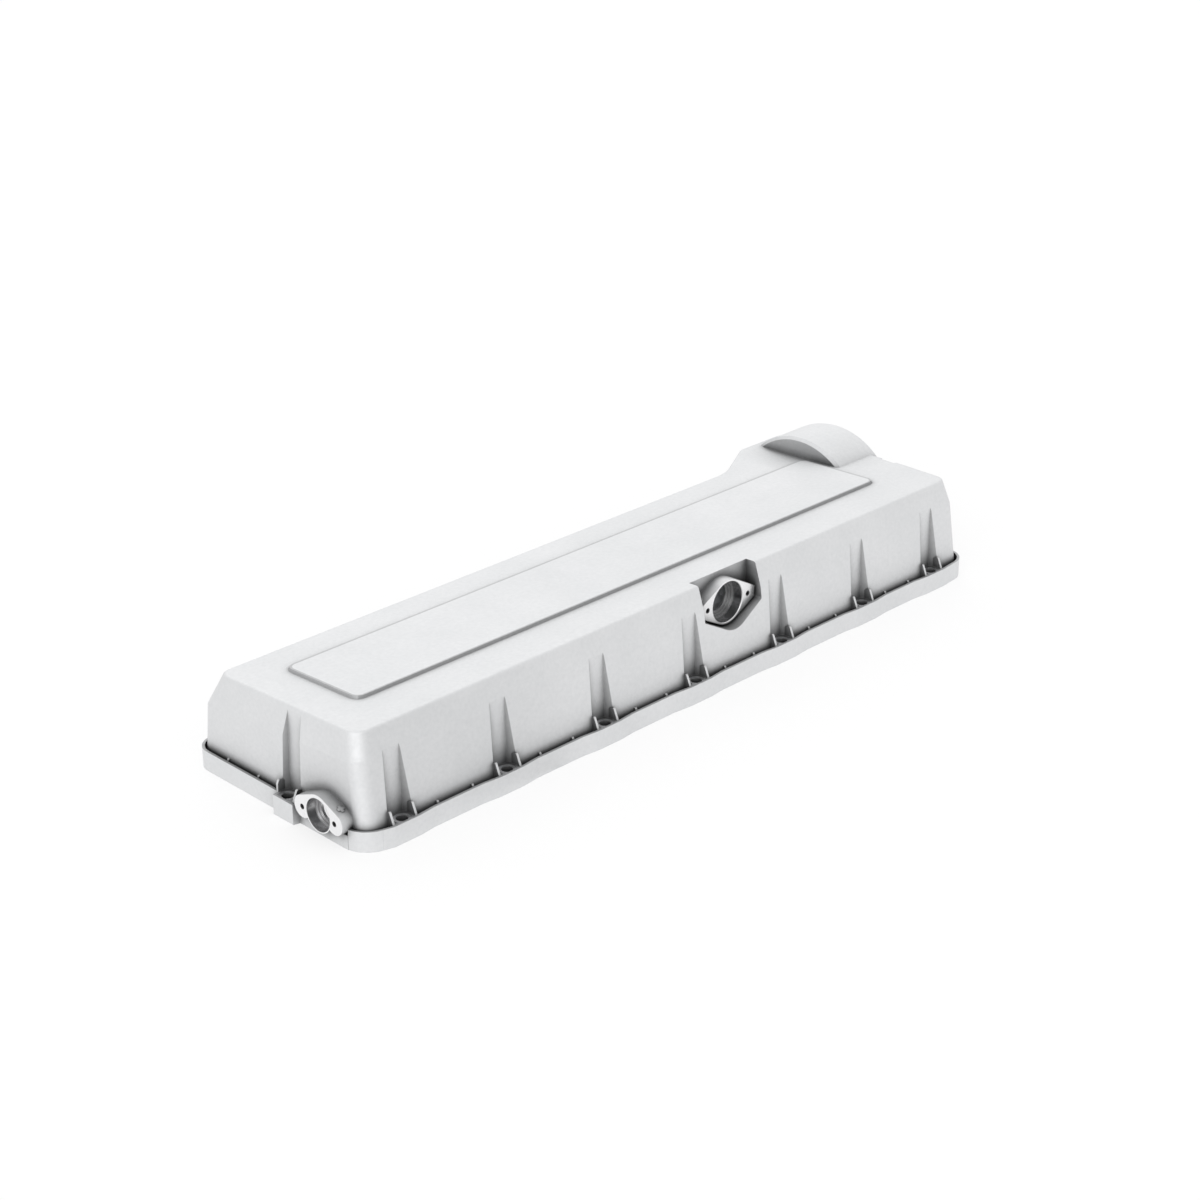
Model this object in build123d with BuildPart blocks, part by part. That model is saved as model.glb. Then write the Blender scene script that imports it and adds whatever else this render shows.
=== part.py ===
from build123d import *
from math import acos, atan, atan2, cos, degrees, hypot, radians, sin, tan
import os

os.makedirs("parts", exist_ok=True)

# Valve cover of a six-cylinder engine, in millimetres.
# x = 0 lies midway between the third and fourth cylinders, y = 0 midway between the front and
# back lips, and z = 0 is the sealing face that stands on the cylinder head.

# Bolts: one for each cylinder, one more by the timing gears, and the ends
cylinder_pitch = 160.0
gear_bolt_pitch = 0.91
bolt_line = 150.0
bolt_hole = 9.0
head_recess = 14.4
head_recess_depth = 9.0
boss_diameter = 21.4
boss_height = 25.4
left_bolt = (-458.3, -20.2)
right_bolt_y = -20.2
bolt_to_lip = 6.8
back_last_bolt = 372.0

# Deck: the top face, which falls toward the back
deck_height = 137.0
deck_fall = 0.05
deck_front = -125.6
deck_back = 122.0
deck_left = -441.0
deck_right = 603.0
deck_right_crown = 616.0
deck_edge_radius = 4.0

# Gear bulge at the back right
bulge_start = 430.6
bulge_out = 47.5
bulge_angle = 30.0

# Corners of the plan, as arcs
front_corner = 20.0
back_corner = 17.0
bulge_corner = 18.0
bulge_blend = 90.0
right_crown_radius = 800.0

# Walls: how far each side stands outside the deck edge at the sealing face, and its lean inward
# for each mm of height. Order everywhere: front, left, back, right.
wall_base = (26.15, 12.3, 28.7, 8.6)
wall_lean = (0.15, 0.046, 0.06, 0.025)
wall_reach = 170.0
wall = 4.5

# Sloped band between the walls and the deck, as outward run for each mm below the deck
band_run = (0.28, 0.22, 0.58, 0.2)
band_depth = 150.0

# Base flange and the upright lip round it
flange_height = 9.0
lip_height = 25.7
lip_thickness = 3.5
lip_base = (31.2, 19.0, 34.8, 17.0)
lip_corners = (37.0, 33.0, 800.0, 33.0, 30.0, 80.0, 28.0)
crest_out = 2.6
crest_half_width = 18.0

# Where a crest's ramp runs out, across and out from its bolt; near a corner it meets the arc
crest_foot = (43.0, 6.8)
front_corner_foot = (32.5, 5.6)
back_corner_foot = (36.4, 6.45)
bulge_foot = (30.0, 6.8)

# Flutes: upright channels in the walls that give the bolts room
flute_half_width = 12.0
flute_flare = 30.0
flute_lean = 0.0256
flute_distance = 13.4
flute_reach = 30.0
flute_top = 150.0

# Gussets between wall and lip
fin_offset = 16.5
fin_thickness = 3.0
fin_height = 40.0
rib_thickness = 3.0
rib_height = 27.0
left_rib_rows = (39.6, 96.3)
right_rib_rows = (-85.0, 40.0, 110.0)

# Raised panel on the deck
panel_left = -384.3
panel_right = 531.5
panel_front = -60.5
panel_back = 72.0
panel_corner = 14.0
panel_height = 3.3
panel_taper = 28.0

# Hump over the camshaft gear
hump_centre_y = 82.9
hump_centre_z = 42.7
hump_radius = 111.1
hump_front = 541.0
hump_foot = 70.0
hump_chamfer = 4.0

# Side port, in a pocket of the front wall
side_port_x = 160.0
side_port_z = 99.0
side_port_face = -128.0
side_port_steps = ((54.0, 16.0), (49.0, 18.5), (44.0, 21.0), (39.0, 24.0))
side_port_half_length = 49.7
side_port_tip = 14.2
side_port_outer = 60.0
side_port_screw = 37.0
side_port_chamfer = 1.0
pocket_floor = -110.0
pocket_gap = 2.8

# End port, through the left wall
end_port_y = -86.6
end_port_z = 31.2
end_port_face = -468.0
end_port_steps = ((41.0, 14.0), (36.0, 16.5), (31.0, 21.0))
end_port_ear = 14.0
end_port_ring = 44.0
end_port_outer = 50.0
end_port_screw = 28.0
end_port_foot = 18.0
end_port_foot_face = -459.5
end_port_gap_front = -127.0
end_port_gap_back = -43.0

# Screw holes of both ports
port_screw_hole = 6.8
port_screw_depth = 15.0

# Cast marks on the ports' upper flats: a round one and a cross
mark_height = 1.2
side_mark = 9.0
side_mark_reach = 10.0
side_mark_depth = 10.0
end_mark = 9.0
end_mark_arm = 3.6
end_mark_reach = 5.6
end_mark_depth = 10.0

# Box round the left bolt
left_box_face = -468.3
left_box_front = -40.7
left_box_back = -5.5

# Seal and its groove in the sealing face
groove_width = 4.0
groove_depth = 4.0
seal_clearance = 0.25
groove_bolt_distance = 8.7
groove_detour_half = 8.0
groove_detour_ramp = 9.0
groove_corners = (26.0, 24.0, 200.0, 24.0, 18.0, 90.0, 20.0)

# Baffle under the side port
baffle_sheet = 1.5
baffle_level = 62.0
baffle_front = -100.0
baffle_back = -10.0
baffle_left = 78.0
baffle_right = 242.0
baffle_wall_height = 22.0
baffle_corner = 8.0
post_diameter = 13.0
post_hole_depth = 14.0
post_inset = 9.0
screw_diameter = 5.0
screw_head = 8.0
screw_head_height = 4.0
screw_length = 12.0
screw_clearance = 0.1
drain_hole = 9.0
drain_pitch = 32.0

# Ribs under the deck
deck_rib_depth = 9.0
deck_rib_thickness = 3.5

deck_centre_height = deck_height + deck_fall * deck_front
deck_plane = Plane(origin=(0, 0, deck_centre_height), x_dir=(1, 0, 0), z_dir=(0, deck_fall, 1))
corner_radii = (
    front_corner,
    front_corner,
    right_crown_radius,
    front_corner,
    bulge_corner,
    bulge_blend,
    back_corner,
)

crown_y = (deck_front + deck_back + bulge_out) / 2
first_bolt_x = -2.5 * cylinder_pitch
gear_bolt_x = 2.5 * cylinder_pitch + gear_bolt_pitch * cylinder_pitch
front_bolt_xs = [first_bolt_x + cylinder_pitch * n for n in range(6)] + [gear_bolt_x]
back_bolt_xs = front_bolt_xs[:5] + [back_last_bolt]


def plan_points(front, left, back, right):
    """Corners of the cover's plan, moved out from the deck edge by four distances."""
    slant = back * tan(radians(bulge_angle / 2))
    bulge_end = bulge_start + bulge_out / tan(radians(bulge_angle))
    return [
        (deck_left - left, deck_front - front),
        (deck_right + right, deck_front - front),
        (deck_right_crown + right, crown_y),
        (deck_right + right, deck_back + bulge_out + back),
        (bulge_end - slant, deck_back + bulge_out + back),
        (bulge_start - slant, deck_back + back),
        (deck_left - left, deck_back + back),
    ]


def lip_face(distances, radii):
    """A rounded plan, moved out from the deck edge by four distances."""
    with BuildSketch() as plan:
        with BuildLine():
            FilletPolyline(plan_points(*distances), radius=radii, close=True)
        make_face()
    return plan.sketch


def wall_distances(height, inset):
    """Distance of the four walls from the deck edge at a height, less an inset."""
    return [base - lean * height - inset for base, lean in zip(wall_base, wall_lean)]


def right_edge_x(y, distance):
    """x of the crowned right end at y, moved out by a distance."""
    rise = (deck_right_crown - deck_right) / (crown_y - deck_front)
    return deck_right_crown + distance - rise * abs(y - crown_y)


crown_slant = degrees(atan((deck_right_crown - deck_right) / (crown_y - deck_front)))


def left_station(y):
    """A place at the left end, as far inside the lip as the other bolts."""
    return Location((deck_left - lip_base[1] + bolt_to_lip, y, 0), (0, 0, -90))


def right_station(y):
    """A place at the crowned right end, square to it and as far inside the lip."""
    turn = 90 + crown_slant if y > crown_y else 90 - crown_slant
    return Location((right_edge_x(y, lip_base[3]) - bolt_to_lip, y, 0), (0, 0, turn))


# Each bolt's place, turned so that its flute opens outward
left_bolt_station = Location((*left_bolt, 0), (0, 0, -90))
bulge_station = Location((gear_bolt_x, bolt_line + bulge_out, 0), (0, 0, 180))
front_stations = [Location((x, -bolt_line, 0)) for x in front_bolt_xs]
back_stations = [Location((x, bolt_line, 0), (0, 0, 180)) for x in back_bolt_xs]
plain_stations = [*front_stations[1:], *back_stations[1:], right_station(right_bolt_y)]
corner_stations = [front_stations[0], back_stations[0], bulge_station]
stations = [left_bolt_station, *corner_stations, *plain_stations]

# Ribs stand at the thirds between neighbouring bolts
rib_stations = [left_station(y) for y in left_rib_rows] + [right_station(y) for y in right_rib_rows]
for row, row_y, turn in ((front_bolt_xs, -bolt_line, 0), (back_bolt_xs, bolt_line, 180)):
    for start, end in zip(row, row[1:]):
        for third in (1 / 3, 2 / 3):
            rib_x = start + third * (end - start)
            rib_stations.append(Location((rib_x, row_y, 0), (0, 0, turn)))


def leaning_block(plane, distances, height, leans, inset):
    """A block on a plane, its four kinds of side leaning inward and its corners rounded."""
    outwards = (Vector(0, -1, 0), Vector(-1, 0, 0), Vector(0, 1, 0), Vector(1, 0, 0))
    with BuildPart() as block:
        with BuildSketch(plane):
            Polygon(*plan_points(*distances), align=None)
        extrude(amount=height)
        for outward, lean in zip(outwards, leans):
            sides = block.faces().filter_by(lambda face: face.normal_at().dot(outward) > 0.7)
            draft(sides, plane, degrees(atan(lean)))
        for corner, radius in zip(plan_points(*distances), corner_radii):
            place = plane.from_local_coords((*corner, 0))
            upright = block.edges().filter_by(lambda edge: abs(edge.tangent_at(0.5).Z) > 0.5)
            grow = inset if radius == bulge_blend else -inset
            fillet(upright.sort_by_distance(place)[0], radius=radius + grow)
    return block.part


def crest(left_foot, right_foot):
    """The lip's outward swell at a bolt, in plan, run out at a foot on each side."""
    with BuildSketch() as swell:
        Polygon(
            (-left_foot[0], 0),
            (-left_foot[0], -left_foot[1]),
            (-crest_half_width, -bolt_to_lip - crest_out),
            (crest_half_width, -bolt_to_lip - crest_out),
            (right_foot[0], -right_foot[1]),
            (right_foot[0], 0),
            align=None,
        )
    return swell.sketch


def closed_body(inset):
    """Walls, band, deck and hump as one solid block, with every face moved in by inset."""
    walls = leaning_block(Plane.XY, wall_distances(0, inset), wall_reach, wall_lean, inset)
    band = leaning_block(
        deck_plane.offset(-inset),
        [inset * run - inset for run in band_run],
        -band_depth,
        band_run,
        inset,
    )
    with BuildPart() as body:
        add(walls)
        add(band, mode=Mode.INTERSECT)
        if inset == 0:
            top = body.faces().sort_by(Axis.Z)[-1]
            fillet(top.edges(), radius=deck_edge_radius)
    with BuildPart() as hump:
        with BuildSketch(Plane.YZ.offset(hump_front + inset)):
            with Locations((hump_centre_y, hump_centre_z)):
                Circle(hump_radius - inset)
            with Locations((hump_centre_y, hump_foot)):
                Rectangle(
                    2 * hump_radius,
                    2 * hump_radius,
                    align=(Align.CENTER, Align.MIN),
                    mode=Mode.INTERSECT,
                )
        extrude(amount=cylinder_pitch)
        if inset == 0:
            front_rim = hump.faces().sort_by(Axis.X)[0].edges().filter_by(GeomType.CIRCLE)
            chamfer(front_rim, length=hump_chamfer)
        add(walls, mode=Mode.INTERSECT)
    with BuildPart() as whole:
        add(body.part)
        add(hump.part)
    return whole.part


def flute_block(grow, bottom):
    """A flute at a bolt, open toward -y, with its sides and leaning back moved out by grow."""
    mouth = flute_half_width + flute_reach * tan(radians(flute_flare))
    back = flute_distance + flute_lean * (bottom - boss_height)
    with BuildPart() as block:
        with BuildSketch(Plane.XY.offset(bottom)):
            Polygon(
                (-flute_half_width, back),
                (flute_half_width, back),
                (mouth, back - flute_reach),
                (-mouth, back - flute_reach),
                align=None,
            )
            if grow:
                offset(amount=grow, kind=Kind.INTERSECTION)
        extrude(amount=flute_top, dir=(0, flute_lean, 1))
    return block.part


def side_port_plane(y):
    """Upright plane at the side port, seen from the front, at a depth y."""
    return Plane(origin=(side_port_x, y, side_port_z), x_dir=(1, 0, 0), z_dir=(0, -1, 0))


def side_port_outline():
    """The side port's flange: a round middle drawn out to two flat tips."""
    with BuildSketch() as outline:
        with BuildLine():
            CenterArc((0, 0), side_port_outer / 2, 0, 360)
            for side in (-1, 1):
                tip_x = side * side_port_half_length
                Line((tip_x, -side_port_tip / 2), (tip_x, side_port_tip / 2))
        make_hull()
    return outline.sketch


def pocket_block(grow):
    """The pocket round the side port, open through the front wall and the deck."""
    with BuildPart() as block:
        with BuildSketch(side_port_plane(pocket_floor + grow)):
            add(side_port_outline())
            with Locations((0, 0)):
                Rectangle(
                    2 * side_port_half_length, deck_height, align=(Align.CENTER, Align.MIN)
                )
            offset(amount=pocket_gap + grow)
        extrude(amount=bolt_line)
    return block.part


end_port_plane = Plane(
    origin=(end_port_face, end_port_y, end_port_z), x_dir=(0, 1, 0), z_dir=(1, 0, 0)
)


def end_port_outline():
    """The end port's flange: straight to its two ears above, and waisted below them."""
    ears = [(-end_port_screw, 0), (end_port_screw, 0)]
    with BuildSketch() as outline:
        with BuildLine():
            CenterArc((0, 0), end_port_outer / 2, 0, 360)
            for ear in ears:
                CenterArc(ear, end_port_ear, 0, 360)
        make_hull()
        Rectangle(
            2 * end_port_outer * 2,
            end_port_outer,
            align=(Align.CENTER, Align.MIN),
            mode=Mode.INTERSECT,
        )
        Circle(end_port_ring / 2)
        with Locations(*ears):
            Circle(end_port_ear)
    return outline.sketch


def port_flat(port_plane, end, end_radius, middle_radius, reach, depth):
    """A plane on a port's upper flat, at a reach from its left end and a depth from its face."""
    bearing = atan2(end[1], end[0]) - acos((middle_radius - end_radius) / hypot(*end))
    outward = Vector(cos(bearing), sin(bearing))
    along = Vector(sin(bearing), -cos(bearing))
    spot = Vector(*end) + outward * end_radius + along * reach
    return Plane(
        origin=port_plane.from_local_coords((spot.X, spot.Y, depth)),
        x_dir=port_plane.x_dir * along.X + port_plane.y_dir * along.Y,
        z_dir=port_plane.x_dir * outward.X + port_plane.y_dir * outward.Y,
    )


def detour(start, end, bolt):
    """Four points that take the seal, on its way from start to end, round inside a bolt."""
    along = (end - start).normalized()
    inward = Vector(-along.Y, along.X)
    foot = start + along * (bolt - start).dot(along)
    depth = (bolt - foot).dot(inward) + groove_bolt_distance
    reach = groove_detour_half + groove_detour_ramp
    return [
        foot - along * reach,
        foot - along * groove_detour_half + inward * depth,
        foot + along * groove_detour_half + inward * depth,
        foot + along * reach,
    ]


def seal_ring(width):
    """The seal's plan, midway between the cavity and the lip, passing inside every bolt."""
    middle = [(base - wall + lip) / 2 for base, lip in zip(wall_base, lip_base)]
    corners = [Vector(*point) for point in plan_points(*middle)]
    points = []
    radii = []
    for n, start in enumerate(corners):
        end = corners[(n + 1) % len(corners)]
        span = end - start
        length = span.length
        points.append(start)
        radii.append(groove_corners[n])
        near = []
        for station in stations:
            bolt = Vector(station.position.X, station.position.Y)
            along = (bolt - start).dot(span) / length
            away = abs((bolt - start).cross(span).Z) / length
            if 0 < along < length and away < bolt_to_lip + groove_width:
                near.append((along, bolt))
        for _, bolt in sorted(near, key=lambda pair: pair[0]):
            points += detour(start, end, bolt)
            radii += 4 * [0]
    with BuildSketch() as ring:
        with BuildLine():
            FilletPolyline(points, radius=radii, close=True)
        make_face()
        centre = ring.sketch
        offset(amount=width / 2, kind=Kind.INTERSECTION)
        offset(centre, amount=-width / 2, kind=Kind.INTERSECTION, mode=Mode.SUBTRACT)
    return ring.sketch


post_y = (baffle_front + baffle_back) / 2
post_places = [(baffle_left + post_inset, post_y), (baffle_right - post_inset, post_y)]

with BuildSketch() as lip_plan:
    add(lip_face(lip_base, lip_corners))
    with Locations(front_stations[0]):
        add(crest(front_corner_foot, crest_foot))
    with Locations(back_stations[0]):
        add(crest(crest_foot, back_corner_foot))
    with Locations(bulge_station):
        add(crest(crest_foot, bulge_foot))
    with Locations(*plain_stations):
        add(crest(crest_foot, crest_foot))
    Polygon(
        (left_box_face, left_box_back),
        (left_box_face, left_box_front),
        (deck_left - lip_base[1], end_port_gap_back),
        (deck_left, end_port_gap_back),
        (deck_left, left_box_back),
        align=None,
    )

# Fins beside a bolt, standing on the flange
with BuildPart() as fins:
    for side in (-1, 1):
        with BuildSketch(Plane.YZ.offset(side * fin_offset - fin_thickness / 2)):
            Polygon(
                (flute_distance, 0),
                (flute_distance, fin_height - 4),
                (flute_distance - 12, fin_height),
                (flute_distance - 13.5, fin_height - 1),
                (-bolt_to_lip + 1, lip_height),
                (-bolt_to_lip + 1, 0),
                align=None,
            )
        extrude(amount=fin_thickness)

# Short ribs in the channel, between the bolts
with BuildPart() as rib:
    with BuildSketch(Plane.YZ.offset(-rib_thickness / 2)):
        Polygon(
            (4, 0),
            (4, rib_height),
            (0.5, rib_height),
            (-bolt_to_lip + 1, lip_height - 8),
            (-bolt_to_lip + 1, 0),
            align=None,
        )
    extrude(amount=rib_thickness)

outer_body = closed_body(0)
with BuildPart() as cavity:
    add(closed_body(wall))
    with Locations(*stations):
        add(flute_block(wall, 0), mode=Mode.SUBTRACT)
    add(pocket_block(wall), mode=Mode.SUBTRACT)
    with BuildSketch(deck_plane.offset(-wall - deck_rib_depth)):
        with Locations(*[(x, 0) for x in front_bolt_xs[:6]]):
            Rectangle(deck_rib_thickness, 4 * bolt_line)
    extrude(amount=wall + deck_rib_depth, mode=Mode.SUBTRACT)
    with BuildSketch(Plane.XY.offset(baffle_level + baffle_sheet)):
        with Locations(*post_places):
            Circle(post_diameter / 2)
    extrude(amount=deck_height, mode=Mode.SUBTRACT)

with BuildPart() as body:
    add(outer_body)
    with BuildSketch(deck_plane):
        with Locations(((panel_left + panel_right) / 2, (panel_front + panel_back) / 2)):
            RectangleRounded(panel_right - panel_left, panel_back - panel_front, panel_corner)
    extrude(amount=panel_height, taper=panel_taper)
    with Locations(*stations):
        add(flute_block(0, boss_height), mode=Mode.SUBTRACT)
    add(pocket_block(0), mode=Mode.SUBTRACT)

# What stands on the flange inside the lip: bosses with their pads, fins and ribs
with BuildPart() as flange_details:
    with Locations(*stations):
        Cylinder(
            boss_diameter / 2,
            boss_height,
            align=(Align.CENTER, Align.CENTER, Align.MIN),
        )
        Box(
            2 * fin_offset,
            2 * bolt_to_lip,
            boss_height,
            align=(Align.CENTER, Align.CENTER, Align.MIN),
        )
        add(fins.part)
    with Locations(*rib_stations):
        add(rib.part)
    add(lip_plan.sketch)
    extrude(amount=fin_height, mode=Mode.INTERSECT)

# The base flange with its lip, cut low under the end port
with BuildPart() as flange:
    add(lip_plan.sketch)
    extrude(amount=lip_height)
    with BuildSketch(Plane.XY.offset(flange_height)):
        add(lip_plan.sketch)
        offset(amount=-lip_thickness)
    extrude(amount=lip_height, mode=Mode.SUBTRACT)
    with BuildSketch(Plane.XY.offset(end_port_foot)):
        Polygon(
            (left_box_face, end_port_gap_front),
            (left_box_face, end_port_gap_back),
            (deck_left, end_port_gap_back),
            (deck_left, end_port_gap_front),
            align=None,
        )
    extrude(amount=lip_height, mode=Mode.SUBTRACT)
    with BuildSketch():
        Polygon(
            (end_port_foot_face, end_port_gap_front),
            (end_port_foot_face, end_port_gap_back),
            (deck_left, end_port_gap_back),
            (deck_left, end_port_gap_front),
            align=None,
        )
    extrude(amount=end_port_foot)
    with BuildSketch(end_port_plane):
        add(end_port_outline())
    extrude(amount=end_port_steps[-1][1])
    end_flat = port_flat(
        end_port_plane,
        (-end_port_screw, 0),
        end_port_ear,
        end_port_outer / 2,
        end_mark_reach,
        end_mark_depth,
    )
    with BuildSketch(end_flat):
        Rectangle(end_mark, end_mark_arm)
        Rectangle(end_mark_arm, end_mark)
    extrude(amount=mark_height, both=True)

# The side port's body, which stands out from the pocket's floor
with BuildPart() as side_port:
    with BuildSketch(side_port_plane(side_port_face)):
        add(side_port_outline())
    extrude(amount=-side_port_steps[-1][1])
    side_flat = port_flat(
        side_port_plane(side_port_face),
        (-side_port_half_length, side_port_tip / 2),
        0,
        side_port_outer / 2,
        side_mark_reach,
        -side_mark_depth,
    )
    with BuildSketch(side_flat):
        Circle(side_mark / 2)
    extrude(amount=mark_height, both=True)

# Every bore, screw hole and groove that is machined in the casting
with BuildPart() as machining:
    for diameter, depth in side_port_steps:
        with BuildSketch(side_port_plane(side_port_face)):
            Circle(diameter / 2)
        extrude(amount=-depth)
    with BuildSketch(side_port_plane(side_port_face)):
        Circle(side_port_steps[0][0] / 2 + side_port_chamfer)
    extrude(amount=-side_port_chamfer, taper=45)
    for diameter, depth in end_port_steps:
        with BuildSketch(end_port_plane):
            Circle(diameter / 2)
        extrude(amount=depth)
    with BuildSketch(side_port_plane(side_port_face)):
        with Locations((-side_port_screw, 0), (side_port_screw, 0)):
            Circle(port_screw_hole / 2)
    extrude(amount=-port_screw_depth)
    with BuildSketch(end_port_plane):
        with Locations((-end_port_screw, 0), (end_port_screw, 0)):
            Circle(port_screw_hole / 2)
    extrude(amount=port_screw_depth)
    with BuildSketch():
        with Locations(*stations):
            Circle(bolt_hole / 2)
    extrude(amount=boss_height)
    with BuildSketch(Plane.XY.offset(boss_height)):
        with Locations(*stations):
            Circle(head_recess / 2)
    extrude(amount=-head_recess_depth)
    with BuildSketch():
        add(seal_ring(groove_width))
    extrude(amount=groove_depth)
    with BuildSketch(Plane.XY.offset(baffle_level + baffle_sheet)):
        with Locations(*post_places):
            Circle(screw_diameter / 2 + screw_clearance)
    extrude(amount=post_hole_depth)

with BuildPart() as cover:
    add(body.part)
    add([flange.part, flange_details.part])
    add(cavity.part, mode=Mode.SUBTRACT)
    add(side_port.part)
    add(machining.part, mode=Mode.SUBTRACT)

with BuildPart() as gasket:
    with BuildSketch():
        add(seal_ring(groove_width - 2 * seal_clearance))
    extrude(amount=groove_depth)

# Tray under the side port that keeps splashed oil out of it
with BuildPart() as baffle_tray:
    with BuildSketch(Plane.XY.offset(baffle_level)):
        with Locations(((baffle_left + baffle_right) / 2, (baffle_front + baffle_back) / 2)):
            RectangleRounded(
                baffle_right - baffle_left, baffle_back - baffle_front, baffle_corner
            )
    extrude(amount=baffle_wall_height)
    with BuildSketch(Plane.XY.offset(baffle_level + baffle_sheet)):
        with Locations(((baffle_left + baffle_right) / 2, (baffle_front + baffle_back) / 2)):
            RectangleRounded(
                baffle_right - baffle_left - 2 * baffle_sheet,
                baffle_back - baffle_front - 2 * baffle_sheet,
                baffle_corner - baffle_sheet,
            )
    extrude(amount=baffle_wall_height, mode=Mode.SUBTRACT)
    with BuildSketch(Plane.XY.offset(baffle_level)):
        with Locations(*post_places):
            Circle(screw_diameter / 2 + screw_clearance)
        with Locations(((baffle_left + baffle_right) / 2, (baffle_front + baffle_back) / 2)):
            with GridLocations(drain_pitch, drain_pitch, 2, 1):
                Circle(drain_hole / 2)
    extrude(amount=baffle_sheet, mode=Mode.SUBTRACT)

with BuildPart() as baffle_screws:
    with BuildSketch(Plane.XY.offset(baffle_level)):
        with Locations(*post_places):
            RegularPolygon(screw_head / 2, 6, major_radius=False)
    extrude(amount=-screw_head_height)
    with BuildSketch(Plane.XY.offset(baffle_level)):
        with Locations(*post_places):
            Circle(screw_diameter / 2)
    extrude(amount=screw_length)

pieces = {
    "cover": cover,
    "gasket": gasket,
    "baffle_tray": baffle_tray,
    "baffle_screws": baffle_screws,
}
for name, piece in pieces.items():
    piece.part.label = name
    export_step(piece.part, f"parts/{name}.step")
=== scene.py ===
import math

import bmesh
import bpy
from mathutils import Euler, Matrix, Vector


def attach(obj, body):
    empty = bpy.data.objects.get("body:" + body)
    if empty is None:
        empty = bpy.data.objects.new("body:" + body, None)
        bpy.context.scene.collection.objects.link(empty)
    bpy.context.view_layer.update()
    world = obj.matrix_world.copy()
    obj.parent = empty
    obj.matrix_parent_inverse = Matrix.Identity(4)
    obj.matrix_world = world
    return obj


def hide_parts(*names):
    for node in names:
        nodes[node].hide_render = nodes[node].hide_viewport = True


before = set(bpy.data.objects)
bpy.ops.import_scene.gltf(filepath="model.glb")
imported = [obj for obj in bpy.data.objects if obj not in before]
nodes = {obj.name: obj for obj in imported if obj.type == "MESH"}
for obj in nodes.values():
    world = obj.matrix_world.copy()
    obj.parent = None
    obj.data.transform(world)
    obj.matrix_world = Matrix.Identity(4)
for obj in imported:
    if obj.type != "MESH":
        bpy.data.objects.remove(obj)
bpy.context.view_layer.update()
scene = bpy.context.scene

# Lengths are in mm and angles in degrees; a mesh is written in metres
MM = 0.001

# The drawing's own view, its camera's place in metres: 75 mm lens, 45 degrees round, 25 down
CAMERA_PLACE = (-1.9555, -2.0173, 1.42235)
CAMERA_TURN = -45.0
CAMERA_DOWN = 25.0
LENS = 75.0
SENSOR = 36.0

# Machined places on the casting: the middle of each port's face, its bore and half its face
SIDE_PORT = (160.0, -128.0, 99.0)
SIDE_PORT_AXIS = (0.0, 1.0, 0.0)
SIDE_PORT_BORE = 28.1
SIDE_PORT_DEPTH = 24.0
SIDE_PORT_FACE = (51.0, 32.0)
SIDE_PORT_SCREW = 37.0
END_PORT = (-468.0, -86.6, 31.2)
END_PORT_AXIS = (1.0, 0.0, 0.0)
END_PORT_BORE = 20.6
END_PORT_DEPTH = 21.0
END_PORT_FACE = (43.0, 28.0)
END_PORT_SCREW = 28.0
SEAT_HEIGHT = 25.4
RECESS_HEIGHT = 16.4
TOOL_REACH = 0.12
ANYWHERE = 2000.0
# A face counts as level when its normal's upright share is over this
LEVEL = 0.98
# Cutter marks: rings this far apart about each port's axis, coarser than real ones so they show
RING_PITCH = 1.6

# The raised panel on the deck
PANEL_CENTRE = (73.6, 5.75, 0.0)
PANEL_HALF = (457.9, 66.25, 0.0)
PANEL_CORNER = 14.0
PANEL_LINE = 2.4
PANEL_LINE_SHIFT = 0.4
PANEL_LINE_TONE = 0.74
DECK_LOWEST = 120.0

# Painted shade on the casting's colour: reach in metres, power and least, first for hollows and
# then for creases
PAINTED_SHADES = ((0.06, 1.7, 0.25), (0.012, 1.6, 0.4))
# The least painted shade in the side port's bore and in the end port's
SIDE_BORE_LEAST = 0.32
END_BORE_LEAST = 0.55

# Bolts: place, and the turn from the front wall's side to the wall it stands at
CYLINDER_PITCH = 160.0
CYLINDERS = 6
FIRST_BOLT_X = -400.0
BOLT_LINE = 150.0
GEAR_BOLT_X = 545.6
FRONT_BOLTS = [FIRST_BOLT_X + CYLINDER_PITCH * n for n in range(CYLINDERS)] + [GEAR_BOLT_X]
BACK_BOLTS = FRONT_BOLTS[:5] + [372.0]
BOLTS = [(x, -BOLT_LINE, 0.0) for x in FRONT_BOLTS]
BOLTS += [(x, BOLT_LINE, 180.0) for x in BACK_BOLTS]
BOLTS += [(GEAR_BOLT_X, 197.5, 180.0), (-458.3, -20.2, -90.0), (622.49, -20.2, 85.0)]

# Baffle tray and its screws
BAFFLE_LEVEL = 62.0
BAFFLE_MIDDLE = 160.0
POST_Y = -55.0
POSTS = (87.0, 233.0)
BEADS = (-84.0, -26.0)

# Meshes: a thread's steps in one turn, the distance at which corners merge, the angle of an edge
THREAD_STEPS = 24
MERGE = 0.001
EDGE_ANGLE = 30.0


def linear(code):
    """An sRGB hex colour as linear RGBA."""
    channels = [int(code[n:n + 2], 16) / 255 for n in (0, 2, 4)]
    return (*[c / 12.92 if c <= 0.04045 else ((c + 0.055) / 1.055) ** 2.4 for c in channels], 1.0)


def add_node(tree, kind, inputs=None, **settings):
    """A node with its settings; an input is a value, or a socket, node or list that feeds it."""
    node = tree.nodes.new(kind)
    for name, value in settings.items():
        setattr(node, name, value)
    for name, given in (inputs or {}).items():
        for value in given if isinstance(given, list) else [given]:
            if isinstance(value, bpy.types.Node):
                value = next(socket for socket in value.outputs if socket.enabled)
            if isinstance(value, bpy.types.NodeSocket):
                tree.links.new(value, node.inputs[name])
            else:
                node.inputs[name].default_value = value
    return node


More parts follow.
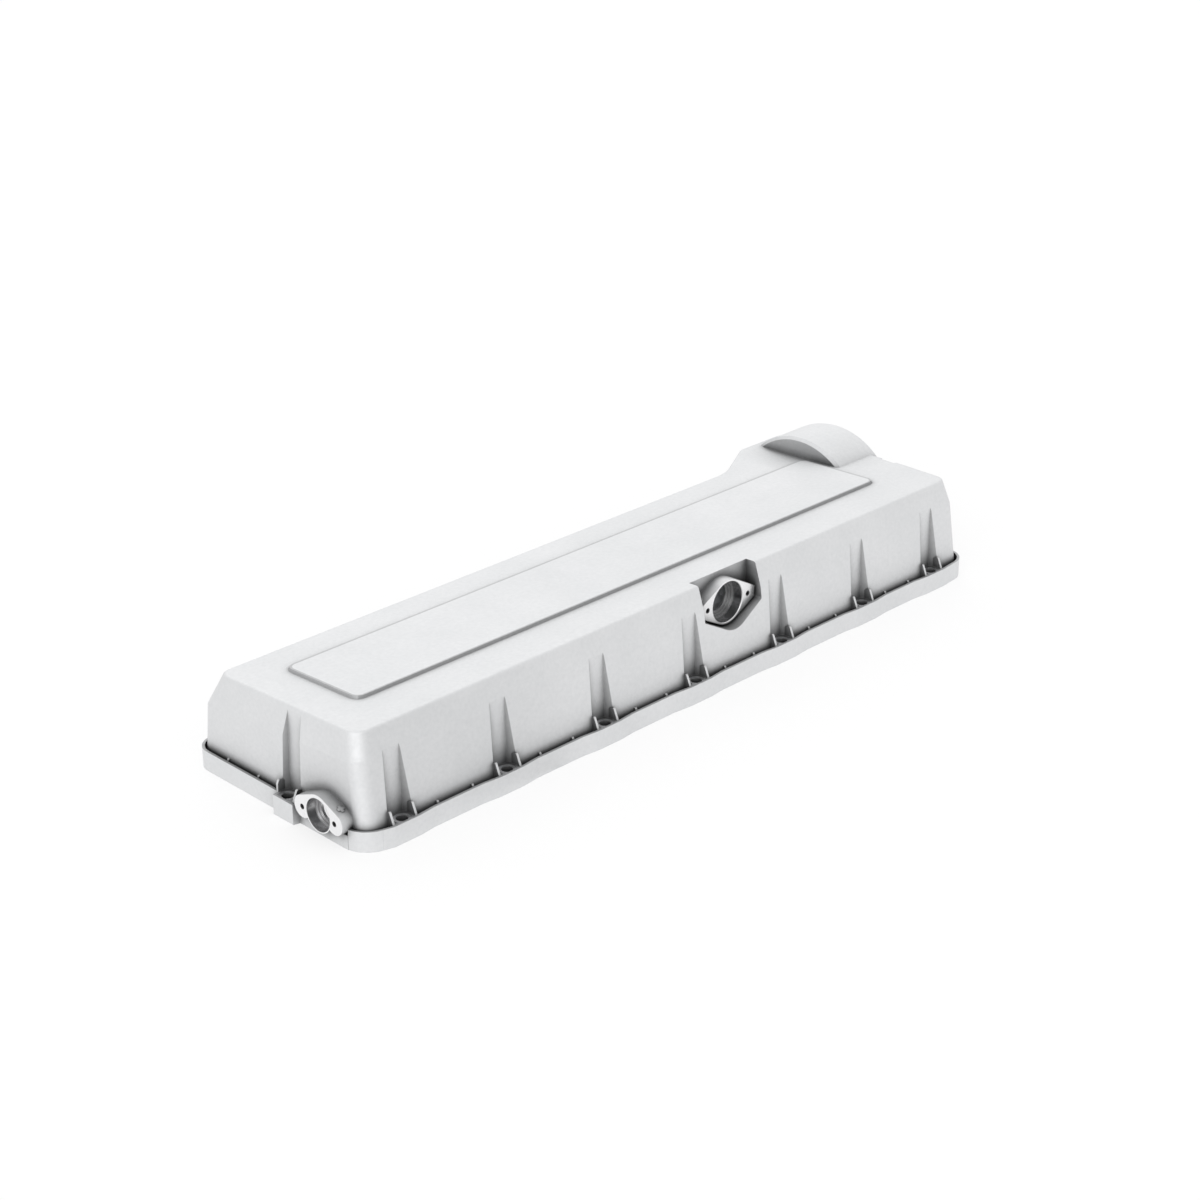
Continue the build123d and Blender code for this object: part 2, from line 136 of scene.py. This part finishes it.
def start_material(name, metallic):
    """A new material: its tree, its shader and the place on the object in mm."""
    material = bpy.data.materials.new(name)
    material.use_nodes = True
    tree = material.node_tree
    tree.nodes.clear()
    shader = add_node(tree, "ShaderNodeBsdfPrincipled", {"Metallic": metallic})
    add_node(tree, "ShaderNodeOutputMaterial", {"Surface": shader})
    metres = add_node(tree, "ShaderNodeTexCoord").outputs["Object"]
    place = add_node(tree, "ShaderNodeVectorMath", {0: metres, "Scale": 1 / MM}, operation="SCALE")
    return material, tree, shader, place


def lumps(tree, place, size, detail=3.0, stretch=(1.0, 1.0, 1.0)):
    """Noise whose lumps are about size mm across, longer along an axis with a small stretch."""
    mapped = add_node(tree, "ShaderNodeMapping", {"Vector": place, "Scale": stretch})
    return add_node(
        tree, "ShaderNodeTexNoise", {"Vector": mapped, "Scale": 1 / size, "Detail": detail}
    )


def inside_box(tree, place, middle, half):
    """1 inside a box given by its middle and half its size, else 0."""
    away = add_node(tree, "ShaderNodeVectorMath", {0: place, 1: middle}, operation="SUBTRACT")
    away = add_node(tree, "ShaderNodeVectorMath", {0: away}, operation="ABSOLUTE")
    steps = add_node(tree, "ShaderNodeVectorMath", {0: away, 1: half}, operation="DIVIDE")
    steps = add_node(tree, "ShaderNodeVectorMath", {0: steps}, operation="FLOOR")
    total = add_node(
        tree, "ShaderNodeVectorMath", {0: steps, 1: (1, 1, 1)}, operation="DOT_PRODUCT"
    )
    return add_node(tree, "ShaderNodeMath", {0: total, 1: 0.5}, operation="LESS_THAN")


def inside_bore(tree, place, mouth, axis, radius, depth):
    """1 inside a bore that runs from its mouth along an axis, and the distance from that axis."""
    away = add_node(tree, "ShaderNodeVectorMath", {0: place, 1: mouth}, operation="SUBTRACT")
    across = add_node(
        tree, "ShaderNodeVectorMath", {0: away, 1: tuple(1 - a for a in axis)}, operation="MULTIPLY"
    )
    distance = add_node(tree, "ShaderNodeVectorMath", {0: across}, operation="LENGTH")
    within = add_node(tree, "ShaderNodeMath", {0: distance, 1: radius}, operation="LESS_THAN")
    middle = tuple(m + a * depth / 2 for m, a in zip(mouth, axis))
    half = tuple(depth / 2 + TOOL_REACH if a else radius for a in axis)
    box = inside_box(tree, place, middle, half)
    return add_node(tree, "ShaderNodeMath", {0: within, 1: box}, operation="MULTIPLY"), distance


def panel_edge(tree, place):
    """1 along the raised panel's rounded edge, seen from above."""
    flat = add_node(tree, "ShaderNodeVectorMath", {0: place, 1: (1, 1, 0)}, operation="MULTIPLY")
    away = add_node(tree, "ShaderNodeVectorMath", {0: flat, 1: PANEL_CENTRE}, operation="SUBTRACT")
    away = add_node(tree, "ShaderNodeVectorMath", {0: away}, operation="ABSOLUTE")
    core = (PANEL_HALF[0] - PANEL_CORNER, PANEL_HALF[1] - PANEL_CORNER, 0.0)
    past = add_node(tree, "ShaderNodeVectorMath", {0: away, 1: core}, operation="SUBTRACT")
    past = add_node(tree, "ShaderNodeVectorMath", {0: past, 1: (0, 0, 0)}, operation="MAXIMUM")
    reach = add_node(tree, "ShaderNodeVectorMath", {0: past}, operation="LENGTH")
    middle = PANEL_CORNER - PANEL_LINE + PANEL_LINE_SHIFT
    return add_node(
        tree, "ShaderNodeMath", {0: reach, 1: middle, 2: PANEL_LINE}, operation="COMPARE"
    )


def cast_aluminium():
    """Shot-blasted aluminium casting: a pale, dull skin, faintly grained, bright at the ports."""
    material, tree, shader, place = start_material("shot_blasted_cast_aluminium", 1.0)
    height = add_node(tree, "ShaderNodeSeparateXYZ", {0: place}).outputs["Z"]
    facing = add_node(tree, "ShaderNodeNewGeometry").outputs["True Normal"]
    upright = add_node(tree, "ShaderNodeSeparateXYZ", {0: facing}).outputs["Z"]

    # Machined: both ports' faces and bores, the floors of the bolt recesses and the sealing face
    side_bore, side_distance = inside_bore(
        tree, place, SIDE_PORT, SIDE_PORT_AXIS, SIDE_PORT_BORE, SIDE_PORT_DEPTH
    )
    end_bore, end_distance = inside_bore(
        tree, place, END_PORT, END_PORT_AXIS, END_PORT_BORE, END_PORT_DEPTH
    )
    flat = add_node(tree, "ShaderNodeMath", {0: upright}, operation="ABSOLUTE")
    level = add_node(tree, "ShaderNodeMath", {0: flat, 1: LEVEL}, operation="GREATER_THAN")
    machined = side_bore
    for patch in (
        end_bore,
        inside_box(tree, place, SIDE_PORT, (SIDE_PORT_FACE[0], TOOL_REACH, SIDE_PORT_FACE[1])),
        inside_box(tree, place, END_PORT, (TOOL_REACH, *END_PORT_FACE)),
    ):
        machined = add_node(tree, "ShaderNodeMath", {0: machined, 1: patch}, operation="MAXIMUM")
    for seat in (RECESS_HEIGHT, 0.0):
        layer = inside_box(tree, place, (0.0, 0.0, seat), (ANYWHERE, ANYWHERE, TOOL_REACH))
        layer = add_node(tree, "ShaderNodeMath", {0: layer, 1: level}, operation="MULTIPLY")
        machined = add_node(tree, "ShaderNodeMath", {0: machined, 1: layer}, operation="MAXIMUM")

    # Blasted skin: cloudy over a hand's width, grained at a few mm, which is as fine as shows
    cloud = lumps(tree, place, 90.0)
    grain = lumps(tree, place, 5.0, 5.0)
    pits = lumps(tree, place, 2.2, 2.0)
    skin = add_node(
        tree,
        "ShaderNodeMix",
        {0: cloud, 6: linear("E0E1E2"), 7: linear("EDEDEE")},
        data_type="RGBA",
    )
    faint = add_node(tree, "ShaderNodeMath", {0: grain, 1: 0.35}, operation="MULTIPLY")
    skin = add_node(
        tree, "ShaderNodeMix", {0: faint, 6: skin, 7: linear("D3D5D6")}, data_type="RGBA"
    )
    colour = add_node(
        tree, "ShaderNodeMix", {0: machined, 6: skin, 7: linear("F2F2F3")}, data_type="RGBA"
    )

    # A faint grey line painted into the colour along the raised panel's top edge
    on_deck = add_node(
        tree, "ShaderNodeMath", {0: height, 1: DECK_LOWEST}, operation="GREATER_THAN"
    )
    facing_up = add_node(tree, "ShaderNodeMath", {0: upright, 1: 0.5}, operation="GREATER_THAN")
    edge = add_node(
        tree, "ShaderNodeMath", {0: panel_edge(tree, place), 1: on_deck}, operation="MULTIPLY"
    )
    edge = add_node(tree, "ShaderNodeMath", {0: edge, 1: facing_up}, operation="MULTIPLY")
    shade = add_node(
        tree, "ShaderNodeMapRange", {"Value": edge, "To Min": 1.0, "To Max": PANEL_LINE_TONE}
    )
    # Painted shade: hollows and creases are darkened in the colour itself, by ambient occlusion
    for reach, power, least in PAINTED_SHADES:
        openness = add_node(
            tree, "ShaderNodeAmbientOcclusion", {"Distance": reach}, samples=8, only_local=True
        ).outputs["AO"]
        openness = add_node(tree, "ShaderNodeMath", {0: openness, 1: power}, operation="POWER")
        opened = add_node(tree, "ShaderNodeMapRange", {"Value": openness, "To Min": least})
        shade = add_node(tree, "ShaderNodeMath", {0: shade, 1: opened}, operation="MULTIPLY")
    # The painted shade in the turned bores is held no darker than each bore's least
    for bore, least in ((side_bore, SIDE_BORE_LEAST), (end_bore, END_BORE_LEAST)):
        lit = add_node(tree, "ShaderNodeMath", {0: bore, 1: least}, operation="MULTIPLY")
        shade = add_node(tree, "ShaderNodeMath", {0: shade, 1: lit}, operation="MAXIMUM")
    shaded = add_node(tree, "ShaderNodeVectorMath", {0: colour, "Scale": shade}, operation="SCALE")
    tree.links.new(shaded.outputs["Vector"], shader.inputs["Base Color"])

    # Cutter marks in the machined places, which are also smoother
    nearest = add_node(
        tree, "ShaderNodeMath", {0: side_distance, 1: end_distance}, operation="MINIMUM"
    )
    phase = add_node(
        tree, "ShaderNodeMath", {0: nearest, 1: math.tau / RING_PITCH}, operation="MULTIPLY"
    )
    marks = add_node(tree, "ShaderNodeMath", {0: phase}, operation="SINE")
    blasted = add_node(tree, "ShaderNodeMapRange", {"Value": grain, "To Min": 0.54, "To Max": 0.74})
    cut = add_node(tree, "ShaderNodeMapRange", {"Value": marks, "To Min": 0.24, "To Max": 0.3})
    rough = add_node(tree, "ShaderNodeMix", {0: machined, 2: blasted, 3: cut})
    tree.links.new(rough.outputs[0], shader.inputs["Roughness"])

    # Cast edges are rounded about a millimetre, and the skin is pitted
    soft_edge = add_node(tree, "ShaderNodeBevel", {"Radius": 1.2 * MM}, samples=6)
    half_pits = add_node(tree, "ShaderNodeMath", {0: pits, 1: 0.5}, operation="MULTIPLY")
    relief = add_node(tree, "ShaderNodeMath", {0: grain, 1: half_pits}, operation="ADD")
    strength = add_node(
        tree, "ShaderNodeMapRange", {"Value": machined, "To Min": 0.22, "To Max": 0.0}
    )
    bump = add_node(
        tree,
        "ShaderNodeBump",
        {"Height": relief, "Strength": strength, "Distance": 0.4 * MM, "Normal": soft_edge},
    )
    tree.links.new(bump.outputs["Normal"], shader.inputs["Normal"])
    return material


def mottled(name, metallic, colours, rough, size, relief, stretch=(1.0, 1.0, 1.0)):
    """A finish that wanders between two colours and two roughnesses, its grain about size mm."""
    material, tree, shader, place = start_material(name, metallic)
    grain = lumps(tree, place, size, 4.0, stretch)
    drift = lumps(tree, place, 12 * size, 2.0)
    colour = add_node(
        tree,
        "ShaderNodeMix",
        {0: drift, 6: linear(colours[0]), 7: linear(colours[1])},
        data_type="RGBA",
    )
    tree.links.new(colour.outputs[2], shader.inputs["Base Color"])
    worn = add_node(
        tree, "ShaderNodeMapRange", {"Value": grain, "To Min": rough[0], "To Max": rough[1]}
    )
    tree.links.new(worn.outputs["Result"], shader.inputs["Roughness"])
    bump = add_node(
        tree, "ShaderNodeBump", {"Height": grain, "Strength": 0.3, "Distance": relief * MM}
    )
    tree.links.new(bump.outputs["Normal"], shader.inputs["Normal"])
    return material


# Spot-faced aluminium: bright, with fine turning marks that only unsettle the shine
spot_faced = mottled("spot_faced_aluminium", 1.0, ("DEDEE0", "E8E8EA"), (0.24, 0.38), 1.5, 0.04)
# Aluminium under a tap: the thread's flanks, their colour darkened with painted shadow between the
# crests
shadow_painted_thread = mottled("tapped_aluminium_thread", 1.0, ("5E5E60", "6A6A6C"), (0.35, 0.5), 1.2, 0.03)
# Bright zinc on steel screws, a little warmer than the sheet
zinc_screw = mottled("zinc_plated_screw_steel", 1.0, ("A3A29A", "B4B3AC"), (0.26, 0.4), 1.2, 0.03)
# Zinc on rolled steel sheet: grey, its grain drawn out along the sheet
zinc_sheet = mottled(
    "zinc_plated_sheet_steel", 1.0, ("A2A4A6", "B6B7B8"), (0.3, 0.5), 1.6, 0.06, (0.06, 1.0, 1.0)
)
# Moulded seal rubber: black, with the mould's matt skin
seal_rubber = mottled("moulded_seal_rubber", 0.0, ("1B1D1C", "2A2D2B"), (0.55, 0.8), 1.4, 0.12)

dressing = {
    "cover": cast_aluminium(),
    "gasket": seal_rubber,
    "baffle_tray": zinc_sheet,
    "baffle_screws": zinc_screw,
}
for node, material in dressing.items():
    nodes[node].data.materials.clear()
    nodes[node].data.materials.append(material)


def repeated(name, slot, finish, places, sizes, shape, *replaced):
    """One plain mesh on the object, made by Geometry Nodes, with a shape at every place.

    A place is x, y, z and a turn about each axis. The shape is built from the tree's size inputs.
    """
    tree = bpy.data.node_groups.new(name, "GeometryNodeTree")
    kinds = {"Places": "Geometry", "Finish": "Material"}
    kinds.update({size: "Float" for size in sizes})
    for label, kind in kinds.items():
        tree.interface.new_socket(label, in_out="INPUT", socket_type="NodeSocket" + kind)
    tree.interface.new_socket("Pieces", in_out="OUTPUT", socket_type="NodeSocketGeometry")
    given = add_node(tree, "NodeGroupInput").outputs
    turn = add_node(
        tree, "GeometryNodeInputNamedAttribute", {"Name": "turn"}, data_type="FLOAT_VECTOR"
    )
    copies = add_node(
        tree,
        "GeometryNodeInstanceOnPoints",
        {"Points": given["Places"], "Instance": shape(tree, given), "Rotation": turn},
    )
    real = add_node(tree, "GeometryNodeRealizeInstances", {"Geometry": copies})
    dressed = add_node(
        tree, "GeometryNodeSetMaterial", {"Geometry": real, "Material": given["Finish"]}
    )
    add_node(tree, "NodeGroupOutput", {"Pieces": dressed})

    points = bpy.data.meshes.new(name + "_places")
    points.from_pydata([Vector(place[:3]) * MM for place in places], [], [])
    turns = points.attributes.new("turn", "FLOAT_VECTOR", "POINT")
    turns.data.foreach_set("vector", [math.radians(a) for place in places for a in place[3:]])
    carrier = bpy.data.objects.new(name + "_carrier", points)
    scene.collection.objects.link(carrier)
    modifier = carrier.modifiers.new(name, "NODES")
    modifier.node_group = tree
    values = {"Finish": finish}
    values.update({size: length * MM for size, length in sizes.items()})
    for socket in tree.interface.items_tree:
        if socket.name in values:
            modifier[socket.identifier] = values[socket.name]
    seen = carrier.evaluated_get(bpy.context.evaluated_depsgraph_get())
    mesh = bpy.data.meshes.new_from_object(seen)
    bpy.data.objects.remove(carrier)

    work = bmesh.new()
    work.from_mesh(mesh)
    bmesh.ops.remove_doubles(work, verts=work.verts, dist=MERGE * MM)
    bmesh.ops.recalc_face_normals(work, faces=work.faces)
    work.to_mesh(mesh)
    work.free()
    mesh.name = name
    mesh.shade_smooth()
    mesh.set_sharp_from_angle(angle=math.radians(EDGE_ANGLE))
    piece = bpy.data.objects.new(name, mesh)
    scene.collection.objects.link(piece)
    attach(piece, "root")
    if replaced:
        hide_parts(*replaced)


def set_at(tree, geometry, height):
    """Geometry moved up by a height."""
    move = add_node(tree, "ShaderNodeCombineXYZ", {"Z": height})
    return add_node(tree, "GeometryNodeTransform", {"Geometry": geometry, "Translation": move})


def thread(tree, radius, pitch, length):
    """A helical ridge of three sides that climbs from the origin."""
    turns = add_node(tree, "ShaderNodeMath", {0: length, 1: pitch}, operation="DIVIDE")
    helix = add_node(
        tree,
        "GeometryNodeCurveSpiral",
        {
            "Resolution": THREAD_STEPS,
            "Rotations": turns,
            "Start Radius": radius,
            "End Radius": radius,
            "Height": length,
        },
    )
    depth = add_node(tree, "ShaderNodeMath", {0: pitch, 1: 0.45}, operation="MULTIPLY")
    ridge = add_node(tree, "GeometryNodeCurvePrimitiveCircle", {"Resolution": 3, "Radius": depth})
    return add_node(
        tree, "GeometryNodeCurveToMesh", {"Curve": helix, "Profile Curve": ridge, "Fill Caps": True}
    )


def boss_ring(tree, given):
    """A flat ring, cut off where it meets the lip."""
    inner, outer = given["Inner radius"], given["Outer radius"]
    total = add_node(tree, "ShaderNodeMath", {0: inner, 1: outer}, operation="ADD")
    middle = add_node(tree, "ShaderNodeMath", {0: total, 1: 0.5}, operation="MULTIPLY")
    width = add_node(tree, "ShaderNodeMath", {0: outer, 1: inner}, operation="SUBTRACT")
    circle = add_node(
        tree, "GeometryNodeCurvePrimitiveCircle", {"Resolution": 64, "Radius": middle}
    )
    section = add_node(
        tree, "GeometryNodeCurvePrimitiveQuadrilateral", {"Width": width, "Height": given["Height"]}
    )
    ring = add_node(tree, "GeometryNodeCurveToMesh", {"Curve": circle, "Profile Curve": section})
    lip = add_node(tree, "ShaderNodeMath", {0: given["Lip"], 1: -1.0}, operation="MULTIPLY")
    limit = add_node(tree, "ShaderNodeCombineXYZ", {"X": -1.0, "Y": lip, "Z": -1.0})
    spot = add_node(tree, "GeometryNodeInputPosition")
    held = add_node(tree, "ShaderNodeVectorMath", {0: spot, 1: limit}, operation="MAXIMUM")
    return add_node(tree, "GeometryNodeSetPosition", {"Geometry": ring, "Position": held})


def hexagon_screw(tree, given):
    """A screw that hangs head down: chamfered hexagon head, washer, shank and thread."""
    head, corner, washer = given["Head height"], given["Corner radius"], given["Washer height"]
    shank, length = given["Shank radius"], given["Length"]
    blank = add_node(
        tree, "GeometryNodeMeshCylinder", {"Vertices": 6, "Radius": corner, "Depth": head}
    )
    # The cone that turns the chamfer: 30 degrees, starting just inside the flats
    tip = add_node(tree, "ShaderNodeMath", {0: corner, 1: 0.87}, operation="MULTIPLY")
    flare = add_node(tree, "ShaderNodeMath", {0: head, 1: 1.7, 2: tip}, operation="MULTIPLY_ADD")
    cone = add_node(
        tree,
        "GeometryNodeMeshCone",
        {"Vertices": 48, "Radius Top": flare, "Radius Bottom": tip, "Depth": head},
    )
    half_head = add_node(tree, "ShaderNodeMath", {0: head, 1: 0.5}, operation="MULTIPLY")
    cut = add_node(
        tree,
        "GeometryNodeMeshBoolean",
        {"Mesh 2": [set_at(tree, blank, half_head), cone]},
        operation="INTERSECT",
        solver="EXACT",
    )
    drop = add_node(tree, "ShaderNodeMath", {0: head, 1: washer}, operation="ADD")
    drop = add_node(tree, "ShaderNodeMath", {0: drop, 1: -1.0}, operation="MULTIPLY")
    disc = add_node(
        tree,
        "GeometryNodeMeshCylinder",
        {"Vertices": 48, "Radius": given["Washer radius"], "Depth": washer},
    )
    half_washer = add_node(tree, "ShaderNodeMath", {0: washer, 1: -0.5}, operation="MULTIPLY")
    rod = add_node(
        tree, "GeometryNodeMeshCylinder", {"Vertices": 32, "Radius": shank, "Depth": length}
    )
    half_rod = add_node(tree, "ShaderNodeMath", {0: length, 1: 0.5}, operation="MULTIPLY")
    parts = [
        set_at(tree, cut, drop),
        set_at(tree, disc, half_washer),
        set_at(tree, rod, half_rod),
        thread(tree, shank, given["Pitch"], length),
    ]
    return add_node(tree, "GeometryNodeJoinGeometry", {"Geometry": parts})


def tray_bead(tree, given):
    """A round-ended bead pressed out of a sheet, its back left in the sheet."""
    radius = given["Radius"]
    far = add_node(tree, "ShaderNodeCombineXYZ", {"X": given["Half length"]})
    near = add_node(tree, "ShaderNodeVectorMath", {0: far, 1: (-1, 0, 0)}, operation="MULTIPLY")
    line = add_node(tree, "GeometryNodeCurvePrimitiveLine", {"Start": near, "End": far})
    section = add_node(
        tree, "GeometryNodeCurvePrimitiveCircle", {"Resolution": 24, "Radius": radius}
    )
    bar = add_node(
        tree,
        "GeometryNodeCurveToMesh",
        {"Curve": line, "Profile Curve": section, "Fill Caps": True},
    )
    # The end's ball is a hair smaller than the bar, so that each stays closed by itself
    end_radius = add_node(tree, "ShaderNodeMath", {0: radius, 1: 0.99}, operation="MULTIPLY")
    ball = add_node(
        tree, "GeometryNodeMeshUVSphere", {"Segments": 24, "Rings": 12, "Radius": end_radius}
    )
    ends = [
        add_node(tree, "GeometryNodeTransform", {"Geometry": ball, "Translation": end})
        for end in (near, far)
    ]
    limit = add_node(tree, "ShaderNodeCombineXYZ", {"X": 1.0, "Y": 1.0, "Z": given["Back"]})
    spot = add_node(tree, "GeometryNodeInputPosition")
    held = add_node(tree, "ShaderNodeVectorMath", {0: spot, 1: limit}, operation="MINIMUM")
    bead = add_node(tree, "GeometryNodeJoinGeometry", {"Geometry": [bar, *ends]})
    return add_node(tree, "GeometryNodeSetPosition", {"Geometry": bead, "Position": held})


def pin_mark(tree, given):
    """The round left by one ejector pin of the mould."""
    return add_node(
        tree,
        "GeometryNodeMeshCylinder",
        {"Vertices": 32, "Radius": given["Radius"], "Depth": given["Thickness"]},
    )


def tapped_thread(tree, given):
    """The thread in a tapped hole."""
    return thread(tree, given["Hole radius"], given["Pitch"], given["Length"])


# Spot-faced ring round each bolt's head recess, 0.6 mm proud of the boss
repeated(
    "boss_rings",
    "cast_aluminium",
    spot_faced,
    [(x, y, SEAT_HEIGHT + 0.2, 0.0, 0.0, turn) for x, y, turn in BOLTS],
    {"Inner radius": 7.2, "Outer radius": 10.6, "Height": 0.8, "Lip": 5.85},
    boss_ring,
)

repeated(
    "baffle_hex_screws",
    "screw_steel",
    zinc_screw,
    [(x, POST_Y, BAFFLE_LEVEL, 0.0, 0.0, 15.0) for x in POSTS],
    {
        "Head height": 3.2,
        "Corner radius": 4.62,
        "Washer height": 0.8,
        "Washer radius": 5.0,
        "Shank radius": 2.1,
        "Length": 11.8,
        "Pitch": 0.8,
    },
    hexagon_screw,
    "baffle_screws",
)

# Beads that stiffen the tray's floor, standing 1.5 mm below it
repeated(
    "tray_beads",
    "sheet_steel",
    zinc_sheet,
    [(BAFFLE_MIDDLE, y, BAFFLE_LEVEL + 0.9, 0.0, 0.0, 0.0) for y in BEADS],
    {"Half length": 52.0, "Radius": 2.4, "Back": 0.3},
    tray_bead,
)

# Pin marks under the deck, four to a cylinder, wherever the deck's inside is flat
PIN_SPREAD = (42.0, 62.0)
INSIDE_HEIGHT = 100.0
marks = []
for cylinder in range(CYLINDERS):
    for side in (-1, 1):
        for end in (-1, 1):
            x = FIRST_BOLT_X + CYLINDER_PITCH * (cylinder + 0.5) + side * PIN_SPREAD[0]
            y = end * PIN_SPREAD[1]
            found, spot, normal, _ = nodes["cover"].ray_cast(Vector((x, y, 10.0)) * MM, (0, 0, 1))
            if found and spot.z > INSIDE_HEIGHT * MM and normal.z < -LEVEL:
                marks.append((x, y, spot.z / MM + 0.1, 0.0, 0.0, 0.0))
repeated(
    "ejector_pin_marks",
    "cast_aluminium",
    spot_faced,
    marks,
    {"Radius": 6.0, "Thickness": 1.2},
    pin_mark,
)

# Threads of both ports' blind screw holes, which start 1 mm inside them: the side port's run in
# along Y and the end port's along X
THREAD_START = 1.0
screw_holes = []
for side in (-1, 1):
    x, y, z = SIDE_PORT
    screw_holes.append((x + side * SIDE_PORT_SCREW, y + THREAD_START, z, -90.0, 0.0, 0.0))
for side in (-1, 1):
    x, y, z = END_PORT
    screw_holes.append((x + THREAD_START, y + side * END_PORT_SCREW, z, 0.0, 90.0, 0.0))
repeated(
    "port_threads",
    "cast_aluminium",
    shadow_painted_thread,
    screw_holes,
    {"Hole radius": 3.4, "Pitch": 1.25, "Length": 12.0},
    tapped_thread,
)

camera_data = bpy.data.cameras.new("camera")
camera_data.lens = LENS
camera_data.sensor_width = SENSOR
camera_data.clip_end = 60
camera = bpy.data.objects.new("camera", camera_data)
camera.location = CAMERA_PLACE
camera.rotation_euler = Euler((math.radians(90 - CAMERA_DOWN), 0, math.radians(CAMERA_TURN)), "XYZ")
scene.collection.objects.link(camera)
scene.camera = camera


def floor_paint():
    """Matt white studio floor: it takes the shadow at part strength and glows to the camera."""
    material = bpy.data.materials.new("matt_white_floor")
    material.use_nodes = True
    tree = material.node_tree
    tree.nodes.clear()
    rays = add_node(tree, "ShaderNodeLightPath").outputs
    seen = rays["Is Camera Ray"]
    for ray in ("Is Glossy Ray", "Is Transmission Ray"):
        seen = add_node(tree, "ShaderNodeMath", {0: seen, 1: rays[ray]}, operation="MAXIMUM")
    paint = add_node(tree, "ShaderNodeBsdfDiffuse", {"Color": linear("E0E0E0")})
    shown = add_node(tree, "ShaderNodeBsdfDiffuse", {"Color": linear("909090")})
    glow = add_node(tree, "ShaderNodeEmission", {"Color": (1, 1, 1, 1), "Strength": 0.7})
    lit = add_node(tree, "ShaderNodeAddShader", {0: shown, 1: glow})
    surface = add_node(tree, "ShaderNodeMixShader", {0: seen, 1: paint, 2: lit})
    add_node(tree, "ShaderNodeOutputMaterial", {"Surface": surface})
    return material


# A pale floor that runs into the white backdrop, 40 m across
HALF_FLOOR = 20.0
floor_mesh = bpy.data.meshes.new("floor")
floor_mesh.from_pydata(
    [(x * HALF_FLOOR, y * HALF_FLOOR, 0) for x, y in ((-1, -1), (1, -1), (1, 1), (-1, 1))],
    [],
    [(0, 1, 2, 3)],
)
floor_mesh.materials.append(floor_paint())
floor = bpy.data.objects.new("floor", floor_mesh)
scene.collection.objects.link(floor)

# White to the camera; to the object, a room that is brighter overhead than at the horizon
HORIZON_LIGHT = 0.88
OVERHEAD_LIGHT = 1.0
world = bpy.data.worlds.new("studio")
world.use_nodes = True
tree = world.node_tree
rays = add_node(tree, "ShaderNodeLightPath").outputs
sky = add_node(tree, "ShaderNodeTexCoord").outputs["Generated"]
up = add_node(tree, "ShaderNodeSeparateXYZ", {0: sky}).outputs["Z"]
room = add_node(
    tree,
    "ShaderNodeMapRange",
    {"Value": up, "To Min": HORIZON_LIGHT, "To Max": OVERHEAD_LIGHT},
)
strength = add_node(tree, "ShaderNodeMix", {0: rays["Is Camera Ray"], 2: room, 3: 1.0})
backdrop = tree.nodes["Background"]
backdrop.inputs["Color"].default_value = (1, 1, 1, 1)
tree.links.new(strength.outputs[0], backdrop.inputs["Strength"])
scene.world = world

# Soft suns: compass heading, height, how wide the light is, and its power
SUNS = {"key": (150.0, 48.0, 40.0, 0.25), "fill": (-60.0, 25.0, 50.0, 0.7)}
for name, (heading, height, width, power) in SUNS.items():
    data = bpy.data.lights.new(name, "SUN")
    data.energy = power
    data.angle = math.radians(width)
    light = bpy.data.objects.new(name, data)
    light.rotation_euler = Euler((math.radians(90 - height), 0, math.radians(heading)), "XYZ")
    scene.collection.objects.link(light)

scene.view_settings.view_transform = "Standard"
